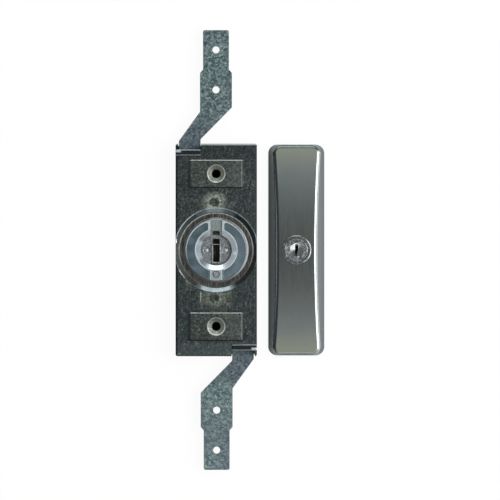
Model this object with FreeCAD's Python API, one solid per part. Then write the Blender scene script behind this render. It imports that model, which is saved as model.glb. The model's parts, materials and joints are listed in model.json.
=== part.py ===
"""Garage door lock: a pressed case whose hub drives two lock arms, and the outer cover
with its key cylinder, lying beside it. Millimetres, +Z up, origin on the hub's axis."""
import FreeCAD, Part
import math
import os

V = FreeCAD.Vector
os.makedirs("parts", exist_ok=True)

# Clearances and fits
slide_gap = 0.3
running_fit = 0.08
seat_gap = 0.02

# Pressed case
case_width = 58.0
case_length = 151.6
case_height = 14.0
sheet = 1.5
fold_radius = 1.6
plate_gap = 0.15
notch_depth = 4.2
lip_depth = 4.4
lip_rise = 0.6

# Round dish under the hub
dish_radius = 30.1
dish_floor_radius = 26.7
dish_depth = 2.0
dish_edge_round = 0.9
dish_lip_round = 0.6

# Lanced screw pads and the flared spacer tubes in them
screw_inset = 21.4
screw_hole_radius = 2.95
pad_length = 39.2
pad_width = 19.6
pad_rise = 1.8
pad_slope = 1.3
pad_edge_round = 0.6
slit = 0.35
tube_radius = 4.4
tube_foot_radius = 3.9
flare_radius = 6.55
flare_lip = 0.6

# Turning hub
hub_radius = 21.95
hub_step_radius = 23.1
hub_step_drop = 1.7
hub_proud = 0.6
hub_neck_radius = 19.6
socket_radius = 11.1
socket_chamfer = 3.35
funnel_drop = 2.2
kidney_inner = 15.2
kidney_outer = 21.3
kidney_drop = 0.45
kidney_corner = 1.6
kidney_depth = 0.5
hub_rib = 1.3
channel_width = 8.6
channel_depth = 1.1
key_notch_width = 5.4
key_notch_reach = 13.8
hub_screw_place = 17.3
hub_screw_radius = 2.1
hub_screw_depth = 0.8
hub_screw_shank = 1.2

# Cam plate, washer and the pieces that hold the bar
cam_radius = 23.5
cam_thickness = 2.0
washer_thickness = 0.5
washer_width = 3.0
bar_slot_width = 4.9
bar_slot_length = 16.6
bar_slot_offset = -0.25
retainer_thickness = 0.6
dimple_radius = 2.8
dimple_depth = 0.45
liner_wall = 0.8
liner_height = 0.9
liner_length = 12.8
liner_bar = 0.5
rivet_spread = 13.8
rivet_shank = 1.1
rivet_head_radius = 1.4
rivet_head_height = 0.8
spring_thickness = 0.3
spring_length = 9.0
spring_bow = 0.35

# Crank pins
turn_angle = 90.0
crank_radius = 16.0
crank_pin_radius = 3.0
crank_neck_radius = 2.2
crank_head_radius = 4.5
crank_head_height = 1.3

# Lock arms
arm_thickness = 2.5
arm_neck_width = 15.5
arm_wall_gap = 0.7
arm_neck_shown = 3.4
arm_shift = -0.25
arm_edge_drop = 1.3
arm_wide_drop = 3.1
arm_diagonal = 22.8
arm_wide_width = 22.8
arm_wide_length = 24.6
arm_shoulder = 2.4
arm_end_width = 18.5
arm_end_length = 28.2
arm_corner = 1.3
arm_bend_round = 2.0
arm_hole_radius = 2.55
arm_hole_pitch = 28.6
arm_hole_from_tip = 14.05
foot_land = 3.4
slot_clearance = 0.15

# Guides that keep the arms straight
guide_length = 9.6
guide_tab = 13.0
guide_start = 31.8
weld_radius = 2.3
weld_shift = -1.2
weld_depth = 0.3
bead_width = 5.0

# Outer cover
cover_width = 40.2
cover_length = 151.4
cover_height = 16.0
cover_end_height = 8.6
cover_corner = 6.5
facet_margin = 3.58
cover_end_draft = 0.1
cover_wall = 1.8
cover_edge_round = 3.0
cover_place = 57.3
boss_radius = 4.8
boss_recess = 0.5
rib_thickness = 1.4
rib_clear = 3.0
collar_wall = 2.4
collar_drop = 1.2
insert_radius = 3.1
insert_bore = 2.1
insert_length = 7.0

# Key cylinder
head_radius = 10.6
head_proud = 1.3
head_seat = 0.5
barrel_radius = 9.2
barrel_foot = 2.6
plug_end = 0.5
plug_radius = 6.4
plug_head_radius = 7.9
plug_head_depth = 1.4
plug_face_radius = 5.3
plug_face_dish = 0.45
head_step = 0.25
keyway_width = 2.3
keyway_ward = 0.8
keyway_height = 8.4
wafer_count = 5
wafer_thickness = 0.8
wafer_pitch = 2.1
wafer_width = 4.6
wafer_height = 11.2
nut_wall = 2.3
nut_height = 3.0
clip_thickness = 0.7
clip_radius = 7.6
tail_slot_width = 2.4
tail_slot_depth = 1.6

# Heights of the case side, from the back up
face_z = case_height
face_under = face_z - sheet
dish_floor = face_z - dish_depth
dish_under = dish_floor - sheet
hub_top = face_z + hub_proud
hub_flange_under = dish_floor + slide_gap
washer_top = dish_under - slide_gap
cam_top = washer_top - washer_thickness
cam_under = cam_top - cam_thickness
arm_top = cam_under - slide_gap
arm_under = arm_top - arm_thickness
pad_top = face_z + pad_rise
pad_under = pad_top - sheet
retainer_top = cam_top + retainer_thickness

# Places worked out from the sizes above
half_width = case_width / 2
half_length = case_length / 2
screw_y = half_length - screw_inset
neck_outer = half_width - sheet - arm_wall_gap
neck_inner = neck_outer - arm_neck_width
pin_offset = crank_radius * math.sin(math.radians(turn_angle / 2))
arm_travel = 2 * pin_offset
lag_angle = math.acos(pin_offset / (crank_radius * math.radians(turn_angle / 2)))
yoke_lag = crank_radius * math.sin(lag_angle) - pin_offset * lag_angle / math.radians(turn_angle / 2)
weld_y = guide_start + 2.4
yoke_half = crank_pin_radius + yoke_lag + slot_clearance
foot_half = yoke_half + foot_land
cover_draft = (cover_width / 2 - head_radius - facet_margin) / cover_height
crown_radius = ((cover_length / 2) ** 2 + (cover_height - cover_end_height) ** 2) / (
    2 * (cover_height - cover_end_height))


# Small builders
def box(x0, x1, y0, y1, z0, z1):
    return Part.makeBox(x1 - x0, y1 - y0, z1 - z0, V(x0, y0, z0))


def rod(radius, z0, z1, x=0.0, y=0.0):
    return Part.makeCylinder(radius, z1 - z0, V(x, y, z0))


def tube(inner, outer, z0, z1, x=0.0, y=0.0):
    return rod(outer, z0, z1, x, y).cut(rod(inner, z0 - 1, z1 + 1, x, y))


def outline(corners, place):
    """Closed wire through corners (u, v, rounding radius); place makes each a point."""
    stations = []
    for number, (u, v, radius) in enumerate(corners):
        here = V(u, v, 0)
        if radius == 0:
            stations.append((here, None, here))
            continue
        back = (V(*corners[number - 1][:2], 0) - here).normalize()
        ahead = (V(*corners[(number + 1) % len(corners)][:2], 0) - here).normalize()
        half = back.getAngle(ahead) / 2
        reach = radius / math.tan(half)
        middle = (back + ahead).normalize()
        crest = here + middle * (radius / math.sin(half) - radius)
        stations.append((here + back * reach, crest, here + ahead * reach))
    edges = []
    for number, (start, crest, end) in enumerate(stations):
        if crest is not None:
            edges.append(Part.Arc(place(start), place(crest), place(end)).toShape())
        following = stations[(number + 1) % len(stations)][0]
        if end.distanceToPoint(following) > 1e-6:
            edges.append(Part.LineSegment(place(end), place(following)).toShape())
    return Part.Wire(edges)


def prism(corners, z0, z1):
    face = Part.Face(outline(corners, lambda p: V(p.x, p.y, z0)))
    return face.extrude(V(0, 0, z1 - z0))


def turned(corners, x=0.0, y=0.0):
    """Solid of revolution about a vertical axis; corners are (r, z, rounding radius)."""
    face = Part.Face(outline(corners, lambda p: V(p.x, 0, p.y)))
    solid = face.revolve(V(0, 0, 0), V(0, 0, 1), 360)
    solid.translate(V(x, y, 0))
    return solid


def rounded_box(width, length, radius, z0, z1, x=0.0, y=0.0):
    a, b = width / 2, length / 2
    corners = [(x - a, y - b, radius), (x + a, y - b, radius),
               (x + a, y + b, radius), (x - a, y + b, radius)]
    return prism(corners, z0, z1)


def half_turn(shape):
    """The same piece turned half a turn about the hub's axis."""
    copy = shape.copy()
    copy.rotate(V(0, 0, 0), V(0, 0, 1), 180)
    return copy


def save(name, *shapes):
    """Writes one node; several shapes stay separate solids of that node."""
    solids = []
    for shape in shapes:
        solids += [solid for solid in shape.removeSplitter().Solids]
    whole = solids[0] if len(solids) == 1 else Part.makeCompound(solids)
    whole.exportStep("parts/" + name + ".step")
    print(name, len(solids), "solid(s)", round(whole.Volume, 1), "mm3", whole.isValid())
    return whole


# Pressed case
def dish_form(extra, top):
    """Round dish; extra is how far it lies outside the pressed surface."""
    slope = math.atan2(dish_depth, dish_radius - dish_floor_radius)
    outward = extra / math.sin(slope)
    rise = (top - face_z) / math.tan(slope)
    floor_shift = extra / math.tan(slope / 2 + math.pi / 4)
    bottom = face_z - dish_depth - extra
    corners = [
        (0, bottom, 0),
        (dish_floor_radius + outward - extra / math.tan(slope), bottom, dish_edge_round + floor_shift),
        (dish_radius + outward + rise, top, 0),
        (0, top, 0)]
    if extra == 0:
        corners[2:3] = [(dish_radius, face_z, dish_lip_round), (dish_radius + 1.2, face_z, 0),
                        (dish_radius + 1.2, top, 0)]
    return turned(corners)


def pad_form(drop, y_half):
    """Bridge section of a lanced pad, lowered by drop and y_half to each side."""
    a = pad_length / 2
    b = a - pad_slope
    low, high = face_z - drop, pad_top - drop
    corners = [(-a, low, 0), (-b, high, 1.0), (b, high, 1.0), (a, low, 0)]
    face = Part.Face(outline(corners, lambda p: V(p.x, -y_half, p.y)))
    return face.extrude(V(0, 2 * y_half, 0))


def build_case_shell():
    body = box(-half_width, half_width, -half_length, half_length, 0, face_z)
    top_edges = [e for e in body.Edges if e.BoundBox.ZMin > face_z - 0.01]
    side_edges = [e for e in body.Edges if e.BoundBox.ZLength > face_z - 0.01]
    body = body.makeFillet(fold_radius, top_edges + side_edges)
    inside = box(sheet - half_width, half_width - sheet, sheet - half_length, half_length - sheet,
                 -1, face_under)
    lip = box(-half_width, -neck_inner + 0.4, half_length - notch_depth - lip_depth,
              half_length - notch_depth, 0, face_z + lip_rise)
    edges = [e for e in lip.Edges if e.BoundBox.ZMin > face_z or e.BoundBox.ZLength > face_z]
    lip = lip.makeFillet(0.8, edges)
    lip_inside = box(sheet - half_width, -neck_inner + 0.4 - sheet,
                     half_length - notch_depth - lip_depth - 1, half_length - notch_depth + 1,
                     -1, face_under + lip_rise)
    exit_cut = box(sheet - half_width, -neck_inner + 0.4, half_length - notch_depth, half_length + 1,
                   -1, face_z + 2)
    body = body.fuse([lip, half_turn(lip)]).cut([exit_cut, half_turn(exit_cut)])
    inside = inside.fuse([lip_inside, half_turn(lip_inside)])
    dish_steel = dish_form(sheet, face_z + 2)
    body = body.cut(inside.cut(dish_steel))
    cuts = [dish_form(0, face_z + 2), rod(hub_neck_radius + running_fit, 0, face_z)]
    pads = []
    for y in (screw_y, -screw_y):
        place = V(0, y, 0)
        window = box(-pad_length / 2, pad_length / 2, -pad_width / 2 - slit, pad_width / 2 + slit,
                     face_under - 1, face_z + 1)
        window.translate(place)
        cuts.append(window)
        pad = pad_form(0, pad_width / 2).fuse(
            box(-pad_length / 2, pad_length / 2, -pad_width / 2, pad_width / 2, face_under, face_z))
        long_edges = [e for e in pad.Edges
                      if e.BoundBox.ZMin > pad_top - 0.01 and e.BoundBox.YLength < 0.01]
        pad = pad.makeFillet(pad_edge_round, long_edges).cut(pad_form(sheet, pad_width))
        flare = turned([(0, pad_under - 4, 0), (tube_radius + seat_gap, pad_under - 4, 0),
                        (tube_radius + seat_gap, pad_top - flare_radius + tube_radius, 0),
                        (flare_radius + seat_gap, pad_top, 0), (flare_radius + seat_gap, pad_top + 1, 0),
                        (0, pad_top + 1, 0)])
        pad = pad.cut(flare)
        pad.translate(place)
        pads.append(pad)
        weld = turned([(0, face_z - weld_depth, 0), (weld_radius * 0.3, face_z - weld_depth, 0.2),
                       (weld_radius, face_z, 0), (weld_radius, face_z + 1, 0), (0, face_z + 1, 0)],
                      weld_shift, math.copysign(weld_y, y))
        cuts.append(weld)
    return body.cut(cuts).fuse(pads)


def build_back_plate():
    wide = half_width - sheet - plate_gap
    long = half_length - sheet - plate_gap
    plate = rounded_box(2 * wide, 2 * long, 0.5, 0, sheet)
    bead_height = arm_under - slide_gap - sheet
    beads = []
    for y in (guide_start, half_length - notch_depth - lip_depth):
        a, crest = bead_width / 2, sheet + bead_height
        section = outline([(y - a, sheet, 0), (y - a + 1.2, crest, 0.9), (y + a - 1.2, crest, 0.9),
                           (y + a, sheet, 0)], lambda p: V(-neck_outer, p.x, p.y))
        bead = Part.Face(section).extrude(V(arm_neck_width, 0, 0))
        beads += [bead, half_turn(bead)]
    plate = plate.fuse(beads)
    holes = [rod(tube_foot_radius + seat_gap, -1, sheet + 1, 0, y) for y in (screw_y, -screw_y)]
    return plate.cut(holes)


def build_spacer():
    """Tube from the back plate to the pad, with its upper end flared into the pad."""
    flare_foot = pad_top - (flare_radius - tube_radius)
    bore_flare = pad_top - (flare_radius - flare_lip - screw_hole_radius)
    spacer = turned([
        (screw_hole_radius, 0, 0), (tube_foot_radius, 0, 0), (tube_foot_radius, sheet, 0),
        (tube_radius, sheet, 0), (tube_radius, flare_foot, 0), (flare_radius, pad_top, 0),
        (flare_radius - flare_lip, pad_top, 0.15), (screw_hole_radius, bore_flare, 0.8)])
    spacer.translate(V(0, screw_y, 0))
    return spacer


def build_arm_guide():
    """Bracket welded under the face, with a leg down the arm's inner edge."""
    leg = -neck_inner + slide_gap
    y1 = guide_start + guide_length
    bracket = box(leg, leg + guide_tab, guide_start, y1, face_under - sheet, face_under).fuse(
        box(leg, leg + sheet, guide_start, y1, arm_under + slide_gap, face_under))
    outer = [e for e in bracket.Edges
             if abs(e.BoundBox.XMax - leg) < 0.01 and e.BoundBox.YLength > guide_length - 0.1
             and e.BoundBox.ZMin > face_under - 0.01]
    bracket = bracket.makeFillet(0.8 * sheet, outer)
    return bracket.cut(rod(tube_radius + slide_gap, arm_under, face_z, 0, screw_y))


# Rotor
def ring_sector_pair(inner, outer, drop, gap, z0, z1, corner):
    """Two kidney shapes left and right of a land of width gap; drop lowers their outer circle."""
    ring = rod(outer, z0, z1, 0, -drop).cut(rod(inner, z0 - 1, z1 + 1))
    ring = ring.cut(box(-gap / 2, gap / 2, -2 * outer, 2 * outer, z0 - 1, z1 + 1))
    edges = [e for e in ring.Edges if e.BoundBox.ZLength > (z1 - z0) * 0.9 and e.BoundBox.XLength < 0.01
             and e.BoundBox.YLength < 0.01 and abs(abs(e.BoundBox.XMin) - gap / 2) < 0.01]
    return ring.makeFillet(corner, edges)


def build_drive_hub():
    hub = turned([
        (socket_radius, cam_top, 0), (hub_neck_radius, cam_top, 0), (hub_neck_radius, hub_flange_under, 0),
        (hub_step_radius, hub_flange_under, 0), (hub_step_radius, hub_top - hub_step_drop - 0.4, 0),
        (hub_radius, hub_top - hub_step_drop, 0), (hub_radius, hub_top, 0.6),
        (socket_radius + socket_chamfer, hub_top, 0.35), (socket_radius, hub_top - funnel_drop, 0)])
    kidneys = ring_sector_pair(kidney_inner, kidney_outer, kidney_drop, channel_width + 2 * hub_rib,
                               hub_top - kidney_depth, hub_top + 1, kidney_corner)
    channel = box(-channel_width / 2, channel_width / 2, key_notch_reach - 2, hub_radius + 2,
                  hub_top - channel_depth, hub_top + 1)
    notch = box(-key_notch_width / 2, key_notch_width / 2, 0, key_notch_reach, cam_top - 1, hub_top + 1)
    notch_edges = [e for e in notch.Edges
                   if e.BoundBox.ZLength > 1 and e.BoundBox.YMin > key_notch_reach - 0.1]
    notch = notch.makeFillet(1.2, notch_edges)
    screw = rod(hub_screw_shank + seat_gap, cam_top - 1, hub_top, 0, -hub_screw_place).fuse(
        rod(hub_screw_radius + seat_gap, hub_top - hub_screw_depth, hub_top + 1, 0, -hub_screw_place))
    return hub.cut([kidneys, channel, notch, screw])


def build_hub_screw():
    seat = hub_top - hub_screw_depth
    screw = turned([(0, cam_under, 0), (hub_screw_shank, cam_under, 0), (hub_screw_shank, seat, 0),
                    (hub_screw_radius, seat, 0), (hub_screw_radius, hub_top - 0.25, 0),
                    (hub_screw_radius - 0.2, hub_top - 0.05, 0), (0, hub_top - 0.05, 0)])
    slot = box(-hub_screw_radius, hub_screw_radius, -0.3, 0.3, hub_top - 0.5, hub_top + 1)
    screw = screw.cut(slot)
    screw.translate(V(0, -hub_screw_place, 0))
    return screw


def bar_slot(grow, z0, z1):
    """Slot for the connecting bar, grown by grow on every side."""
    return rounded_box(bar_slot_width + 2 * grow, bar_slot_length + 2 * grow, 0.8 + grow, z0, z1,
                       0, bar_slot_offset)


def rivet_places():
    return [(x, bar_slot_offset) for x in (-rivet_spread / 2, rivet_spread / 2)]


def build_cam_plate():
    plate = rod(cam_radius, cam_under, cam_top)
    cuts = [bar_slot(0, cam_under - 1, cam_top + 1),
            rod(hub_screw_shank + seat_gap, cam_under - 1, cam_top + 1, 0, -hub_screw_place)]
    for x, y in rivet_places():
        cuts.append(rivet_form(seat_gap, x, y))
    for x, y in crank_places():
        cuts.append(rod(crank_neck_radius + seat_gap, cam_under - 1, cam_top + 1, x, y))
    return plate.cut(cuts)


def rivet_form(grow, x, y):
    """Rivet with a domed head on the retainer and a flush closing head below."""
    closing = cam_thickness * 0.45
    seat = retainer_top - dimple_depth
    shank = rivet_shank + grow
    return turned([(0, cam_under - grow, 0), (shank + closing * 0.8, cam_under - grow, 0),
                   (shank, cam_under + closing, 0), (shank, seat, 0), (rivet_head_radius, seat, 0),
                   (rivet_head_radius, seat + rivet_head_height, rivet_head_height * 0.9),
                   (0, seat + rivet_head_height, 0)], x, y)


def build_thrust_washer():
    inner = hub_neck_radius + running_fit
    return tube(inner, inner + washer_width, cam_top, washer_top)


def build_retainer_disc():
    disc = rod(socket_radius - slide_gap, cam_top, retainer_top)
    disc = disc.cut(bar_slot(0, cam_top - 1, retainer_top + 1))
    for x, y in rivet_places():
        dimple = turned([(0, cam_top - 1, 0), (rivet_shank + seat_gap, cam_top - 1, 0),
                         (rivet_shank + seat_gap, retainer_top - dimple_depth, 0),
                         (rivet_head_radius, retainer_top - dimple_depth, 0),
                         (dimple_radius, retainer_top, 0), (0, retainer_top, 0)], x, y)
        disc = disc.cut(dimple)
    return disc


def build_slot_liner():
    """Raised lip round the lower part of the bar slot, closed by a thin cross bar."""
    low = bar_slot_offset - bar_slot_length / 2
    high = low + liner_length
    wide = bar_slot_width / 2
    lip = prism([(-wide - liner_wall, low - liner_wall, 1.5), (wide + liner_wall, low - liner_wall, 1.5),
                 (wide + liner_wall, high, 0.3), (-wide - liner_wall, high, 0.3)],
                retainer_top, retainer_top + liner_height)
    opening = prism([(-wide, low, 0.8), (wide, low, 0.8), (wide, high - liner_bar, 0.2),
                     (-wide, high - liner_bar, 0.2)], retainer_top - 1, retainer_top + liner_height + 1)
    lip = lip.cut(opening)
    crest = [e for e in lip.Edges if e.BoundBox.ZMin > retainer_top + liner_height - 0.01]
    return lip.makeFillet(0.22, crest)


def build_grip_spring():
    """Bowed brass leaf that stands on edge along the left wall of the bar slot."""
    wall = -bar_slot_width / 2
    middle = bar_slot_offset - 1.2
    start, end = middle - spring_length / 2, middle + spring_length / 2
    z0 = cam_under + 0.1

    def arc(offset, bow, from_y, to_y):
        return Part.Arc(V(wall + offset, from_y, z0), V(wall + offset + bow, middle, z0),
                        V(wall + offset, to_y, z0)).toShape()

    outer = arc(spring_thickness, spring_bow, start, end)
    inner = arc(0, spring_bow, end, start)
    caps = [Part.LineSegment(V(wall + spring_thickness, end, z0), V(wall, end, z0)).toShape(),
            Part.LineSegment(V(wall, start, z0), V(wall + spring_thickness, start, z0)).toShape()]
    face = Part.Face(Part.Wire([outer, caps[0], inner, caps[1]]))
    return face.extrude(V(0, 0, retainer_top - 0.1 - z0))


def crank_places():
    """Rest places of the upper arm's pin, left and low, and the lower arm's, right and high."""
    side = crank_radius * math.cos(math.radians(turn_angle / 2))
    return [(-side, -pin_offset), (side, pin_offset)]


def build_crank_pin(place):
    head_top = arm_under - slide_gap
    head_under = head_top - crank_head_height
    return turned([
        (0, head_under, 0), (crank_head_radius - 0.4, head_under, 0),
        (crank_head_radius, head_under + 0.4, 0), (crank_head_radius, head_top, 0),
        (crank_pin_radius, head_top, 0), (crank_pin_radius, cam_under, 0), (crank_neck_radius, cam_under, 0),
        (crank_neck_radius, cam_top, 0), (0, cam_top, 0)], *place)


# Lock arms
def build_arm():
    """Upper arm; the lower one is the same piece turned half a turn."""
    exit_y = half_length
    bend = exit_y + arm_neck_shown
    wide_y = bend + arm_diagonal
    step_y = wide_y + arm_wide_length
    end_y = step_y + arm_shoulder
    tip = end_y + arm_end_length
    wide, end, shift = arm_wide_width / 2, arm_end_width / 2, arm_shift
    foot_y = -pin_offset
    side = crank_radius * math.cos(math.radians(turn_angle / 2))
    slot_in = side - crank_pin_radius - 2 * slot_clearance
    slot_out = crank_radius + crank_pin_radius + 2 * slot_clearance
    foot_in = slot_in - foot_land
    blank = prism([
        (-neck_outer, foot_y - foot_half, arm_bend_round), (-foot_in, foot_y - foot_half, arm_bend_round),
        (-foot_in, foot_y + foot_half, arm_bend_round), (-neck_inner, foot_y + foot_half, arm_bend_round),
        (-neck_inner, bend, arm_bend_round), (shift + wide, wide_y, arm_bend_round),
        (shift + wide, step_y, 1.0), (shift + end, end_y, 1.0), (shift + end, tip, arm_corner),
        (shift - end, tip, arm_corner), (shift - end, end_y, 1.0), (shift - wide, step_y, 1.0),
        (shift - wide, wide_y - arm_wide_drop, arm_bend_round),
        (-neck_outer, bend - arm_edge_drop, arm_bend_round)],
        arm_under, arm_top)
    slot = prism([
        (-slot_out, foot_y - yoke_half, 1.5), (-slot_in, foot_y - yoke_half, 1.5),
        (-slot_in, foot_y + yoke_half, 1.5), (-slot_out, foot_y + yoke_half, 1.5)],
        arm_under - 1, arm_top + 1)
    cuts = [slot]
    for number in range(2):
        y = tip - arm_hole_from_tip - number * arm_hole_pitch
        cuts.append(rod(arm_hole_radius, arm_under - 1, arm_top + 1, shift, y))
    return blank.cut(cuts)


# Outer cover
def cover_form(inset, round_radius):
    """Drafted block under a crowned top; inset moves every surface inwards."""
    low, high = (0 if inset == 0 else -1), cover_height + 1

    def wedge(half, draft, place, along):
        corners = [(-half + draft * low, low, 0), (half - draft * low, low, 0),
                   (half - draft * high, high, 0), (-half + draft * high, high, 0)]
        return Part.Face(outline(corners, place)).extrude(along)

    across = wedge(cover_width / 2 - inset, cover_draft, lambda p: V(p.x, -cover_length, p.y),
                   V(0, 2 * cover_length, 0))
    block = across.common(wedge(cover_length / 2 - inset, cover_end_draft,
                                lambda p: V(-cover_length, p.x, p.y), V(2 * cover_length, 0, 0)))
    corner_edges = [e for e in block.Edges if e.BoundBox.ZLength > cover_height]
    block = block.makeFillet(cover_corner - inset, corner_edges)
    radius = crown_radius - inset
    centre = V(0, 0, cover_height - crown_radius)
    crown = Part.makeCylinder(radius, 2 * cover_width, centre - V(cover_width, 0, 0), V(1, 0, 0))
    form = block.common(crown)
    edges = []
    for edge in form.Edges:
        points = edge.discretize(5)
        if all(abs(math.hypot(p.y - centre.y, p.z - centre.z) - radius) < 0.01 for p in points):
            edges.append(edge)
    form = form.makeFillet(round_radius, edges)
    form.translate(V(cover_place, 0, 0))
    return form


def build_cover_shell():
    outer = cover_form(0, cover_edge_round)
    cavity = cover_form(cover_wall, cover_edge_round - cover_wall)
    shell = outer.cut(cavity)
    under = cover_height - cover_wall
    fittings = []
    for y in (screw_y, -screw_y):
        fittings.append(rod(boss_radius, boss_recess, cover_height, cover_place, y))
        fittings.append(box(cover_place - cover_width / 2, cover_place + cover_width / 2,
                            y - rib_thickness / 2, y + rib_thickness / 2, rib_clear, cover_height))
    fittings.append(rod(barrel_radius + collar_wall, under - collar_drop, cover_height, cover_place, 0))
    shell = shell.fuse(outer.common(fittings[0].fuse(fittings[1:])))
    cuts = [rod(barrel_radius + seat_gap, under - 3, cover_height + 1, cover_place, 0),
            rod(head_radius + seat_gap, cover_height - head_seat, cover_height + 2, cover_place, 0)]
    for y in (screw_y, -screw_y):
        cuts.append(rod(insert_radius + seat_gap, boss_recess - 1, boss_recess + insert_length,
                        cover_place, y))
    return shell.cut(cuts)


def build_screw_inserts():
    return [tube(insert_bore, insert_radius, boss_recess, boss_recess + insert_length, cover_place, y)
            for y in (screw_y, -screw_y)]


# Key cylinder
head_top_z = cover_height + head_proud
head_under_z = cover_height - head_seat
plug_seat = head_top_z - plug_head_depth
clip_top = barrel_foot - slide_gap
keyway_floor = barrel_foot + 1.0
clip_groove = 1.1


def wafer_levels():
    first = plug_seat - 2.2
    return [first - number * wafer_pitch for number in range(wafer_count)]


def build_cylinder_housing():
    housing = turned([
        (plug_radius + running_fit, barrel_foot, 0), (barrel_radius - 0.4, barrel_foot, 0),
        (barrel_radius, barrel_foot + 0.4, 0),
        (barrel_radius, head_under_z, 0), (head_radius, head_under_z, 0), (head_radius, head_top_z, 0.9),
        (plug_head_radius + running_fit, head_top_z, 0.25), (plug_head_radius + running_fit, plug_seat, 0),
        (plug_radius + running_fit, plug_seat, 0)], cover_place, 0)
    groove = box(cover_place - wafer_width / 2 - 0.2, cover_place + wafer_width / 2 + 0.2,
                 -barrel_radius + 1.0, barrel_radius - 1.0,
                 wafer_levels()[-1] - wafer_thickness, wafer_levels()[0] + wafer_thickness)
    return housing.cut(groove)


def build_cylinder_nut():
    flats = barrel_radius + nut_wall
    points = [(flats / math.cos(math.pi / 6) * math.cos(math.radians(60 * k + 30)),
               flats / math.cos(math.pi / 6) * math.sin(math.radians(60 * k + 30)), 0.6) for k in range(6)]
    top = cover_height - cover_wall - collar_drop - seat_gap
    nut = prism(points, top - nut_height, top).cut(rod(barrel_radius + seat_gap, 0, cover_height))
    nut.translate(V(cover_place, 0, 0))
    return nut


def build_key_plug():
    face = head_top_z - head_step
    plug = turned([
        (0, plug_end, 0), (plug_radius - 0.3, plug_end, 0), (plug_radius, plug_end + 0.3, 0),
        (plug_radius, clip_top - clip_thickness - seat_gap, 0),
        (plug_radius - clip_groove, clip_top - clip_thickness - seat_gap, 0),
        (plug_radius - clip_groove, clip_top + seat_gap, 0), (plug_radius, clip_top + seat_gap, 0),
        (plug_radius, plug_seat + 0.1, 0), (plug_head_radius, plug_seat + 0.1, 0),
        (plug_head_radius, face, 0.25), (plug_face_radius, face, 0),
        (plug_face_radius - plug_face_dish, face - plug_face_dish, 0), (0, face - plug_face_dish / 2, 0)],
        cover_place, 0)
    keyway = rounded_box(keyway_width, keyway_height, 0.4, keyway_floor, head_top_z + 1, cover_place, 0)
    ward = box(cover_place + keyway_width / 2 - keyway_ward, cover_place + keyway_width,
               -keyway_height / 2, -keyway_height / 8, keyway_floor - 1, head_top_z + 2)
    keyway = keyway.cut(ward)
    tail = box(cover_place - tail_slot_width / 2, cover_place + tail_slot_width / 2, -plug_radius, plug_radius,
               plug_end - 1, plug_end + tail_slot_depth)
    cuts = [keyway, tail]
    for z in wafer_levels():
        a, b = wafer_width / 2 + seat_gap, wafer_thickness / 2 + seat_gap
        cuts.append(box(cover_place - a, cover_place + a, -plug_radius, plug_radius, z - b, z + b))
    return plug.cut(cuts)


def build_wafers():
    wafers = []
    for number, z in enumerate(wafer_levels()):
        step = 0.35 * ((number * 2) % 3 - 1)
        wafer = rounded_box(wafer_width, wafer_height, 0.8, z - wafer_thickness / 2, z + wafer_thickness / 2,
                            cover_place, 0)
        window = rounded_box(keyway_width + 0.6, keyway_height * 0.78, 0.3, z - 1, z + 1, cover_place, step)
        wafers.append(wafer.cut(window))
    return wafers


def build_plug_clip():
    """Retaining ring in the groove behind the plug."""
    neck = plug_radius - clip_groove
    ring = tube(neck + seat_gap, clip_radius, clip_top - clip_thickness, clip_top)
    mouth = box(-neck * 0.8, neck * 0.8, 0, clip_radius + 1, plug_end, barrel_foot)
    ring = ring.cut(mouth)
    ring.translate(V(cover_place, 0, 0))
    return ring


save("case_shell", build_case_shell())
save("back_plate", build_back_plate())
spacer = build_spacer()
save("upper_spacer", spacer)
save("lower_spacer", half_turn(spacer))
guide = build_arm_guide()
save("upper_arm_guide", guide)
save("lower_arm_guide", half_turn(guide))
save("drive_hub", build_drive_hub())
save("hub_screw", build_hub_screw())
save("cam_plate", build_cam_plate())
save("thrust_washer", build_thrust_washer())
save("retainer_disc", build_retainer_disc())
save("slot_liner", build_slot_liner())
save("grip_rivets", *[rivet_form(0, x, y) for x, y in rivet_places()])
save("grip_spring", build_grip_spring())
save("upper_crank_pin", build_crank_pin(crank_places()[0]))
save("lower_crank_pin", build_crank_pin(crank_places()[1]))
arm = build_arm()
save("upper_arm", arm)
save("lower_arm", half_turn(arm))
save("cover_shell", build_cover_shell())
save("screw_inserts", *build_screw_inserts())
save("cylinder_housing", build_cylinder_housing())
save("cylinder_nut", build_cylinder_nut())
save("key_plug", build_key_plug())
save("wafers", *build_wafers())
save("plug_clip", build_plug_clip())
print("arm travel", round(arm_travel, 3), "yoke lag", round(yoke_lag, 3))
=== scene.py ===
# %% [markdown]
# Garage door lock: a folded steel case with a turning hub and two lock arms, and beside it the
# satin outer cover with its key cylinder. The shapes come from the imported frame, in metres, and
# this lesson dresses them: first the frame and a few helpers, then one finish after another, and
# last the floor, the lamps and the camera.

# %% Load the frame
import bmesh
import bpy
import json
import math
from mathutils import Matrix, Vector


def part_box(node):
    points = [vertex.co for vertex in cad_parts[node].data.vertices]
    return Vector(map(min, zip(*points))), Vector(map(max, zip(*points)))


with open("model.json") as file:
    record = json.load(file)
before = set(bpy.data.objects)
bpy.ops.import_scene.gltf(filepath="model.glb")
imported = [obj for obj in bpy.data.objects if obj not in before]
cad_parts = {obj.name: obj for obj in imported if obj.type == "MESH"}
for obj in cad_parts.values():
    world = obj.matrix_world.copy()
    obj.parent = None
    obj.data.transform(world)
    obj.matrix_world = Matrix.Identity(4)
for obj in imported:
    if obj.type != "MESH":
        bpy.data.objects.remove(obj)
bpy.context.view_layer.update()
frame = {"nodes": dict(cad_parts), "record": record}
nodes = frame["nodes"]
MM = 0.001


# %% [markdown]
# Two helpers serve every material. One turns a colour as it is picked on a screen, an sRGB hex
# value, into the linear numbers that a shader works in. The other adds a node, sets its values,
# draws its links and gives back the output that the next node needs, so that a material reads as
# a short list. Patterns are sized in millimetres: a texture's scale is one over its size in
# metres.

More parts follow.
